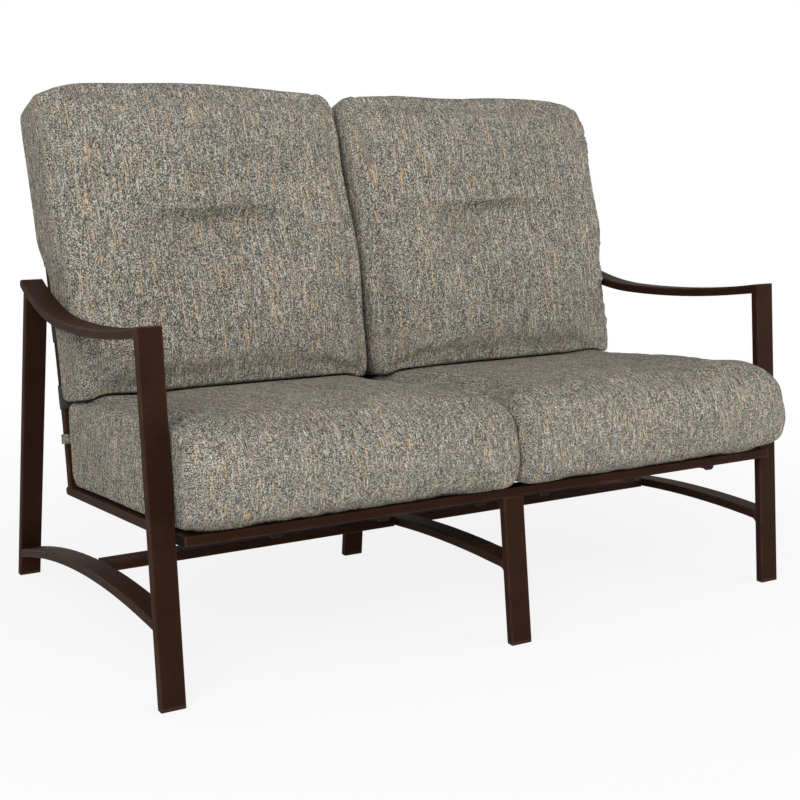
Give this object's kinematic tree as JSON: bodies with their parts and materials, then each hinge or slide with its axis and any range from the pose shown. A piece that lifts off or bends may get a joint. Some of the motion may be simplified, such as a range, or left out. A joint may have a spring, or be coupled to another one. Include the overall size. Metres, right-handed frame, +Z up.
{
  "type": "patio loveseat",
  "caption": "Deep-seating patio loveseat with a brown flat-tube metal frame, dipped armrests and tweed cushions",
  "frame": {"origin": "on the floor, at the middle of the footprint that reaches from the cushion noses to the rear feet", "axes": "+X to the right as seen from the front, +Y to the rear, +Z up; the front faces -Y"},
  "size_m": [1.4, 0.9201, 1.0386],
  "materials": {
    "frame": "dark bronze-brown textured powder coat on aluminium tube",
    "feet": "moulded, same brown as the frame",
    "plastic": "moulded, near black, fine grain",
    "webbing": "woven elastic webbing, dark",
    "ties": "doubled tweed cloth",
    "fasteners": "dark coated steel",
    "cushion": "grey-taupe slubbed tweed with tan, blue-grey and off-white threads over foam"
  },
  "bodies": {
    "frame": {"left_front_leg": "frame", "right_front_leg": "frame", "left_rear_leg": "frame", "right_rear_leg": "frame", "left_armrest": "frame", "right_armrest": "frame", "left_armrest_cap": "frame", "right_armrest_cap": "frame", "left_side_stretcher": "frame", "right_side_stretcher": "frame", "centre_front_leg": "frame", "centre_rear_leg": "frame", "centre_stretcher": "frame", "left_cross_bar": "frame", "right_cross_bar": "frame", "seat_front_rail": "frame", "seat_rear_rail": "frame", "seat_centre_rail": "frame", "left_seat_side_rail": "frame", "right_seat_side_rail": "frame", "left_seat_rail_cap": "frame", "right_seat_rail_cap": "frame", "left_back_post": "frame", "right_back_post": "frame", "centre_back_post": "frame", "back_top_rail": "frame", "left_front_rail_plug": "plastic", "right_front_rail_plug": "plastic", "left_front_foot": "feet", "right_front_foot": "feet", "left_rear_foot": "feet", "right_rear_foot": "feet", "centre_front_foot": "feet", "centre_rear_foot": "feet", "seat_strap_1": "webbing", "seat_strap_2": "webbing", "seat_strap_3": "webbing", "seat_strap_4": "webbing", "seat_strap_5": "webbing", "seat_strap_6": "webbing", "back_strap_1": "webbing", "back_strap_2": "webbing", "back_strap_3": "webbing", "back_strap_4": "webbing", "strap_clips": "plastic", "left_cushion_tie": "ties", "right_cushion_tie": "ties", "centre_cushion_ties": "ties", "arm_spacers": "plastic", "arm_studs": "fasteners", "arm_bolts": "fasteners"},
    "left_seat_cushion": {"left_seat_cushion": "cushion"},
    "right_seat_cushion": {"right_seat_cushion": "cushion"},
    "left_back_cushion": {"left_back_cushion": "cushion"},
    "right_back_cushion": {"right_back_cushion": "cushion"}
  },
  "joints": [
    {"name": "left_seat_cushion_slide", "type": "slide", "parent": "frame", "child": "left_seat_cushion", "axis": [0, -0.9964, 0.0844], "range_m": [0, 0.3]},
    {"name": "right_seat_cushion_slide", "type": "slide", "parent": "frame", "child": "right_seat_cushion", "axis": [0, -0.9964, 0.0844], "range_m": [0, 0.3]},
    {"name": "left_back_cushion_lift", "type": "slide", "parent": "frame", "child": "left_back_cushion", "axis": [0, 0.1564, 0.9877], "range_m": [0, 0.25]},
    {"name": "right_back_cushion_lift", "type": "slide", "parent": "frame", "child": "right_back_cushion", "axis": [0, 0.1564, 0.9877], "range_m": [0, 0.25]}
  ]
}
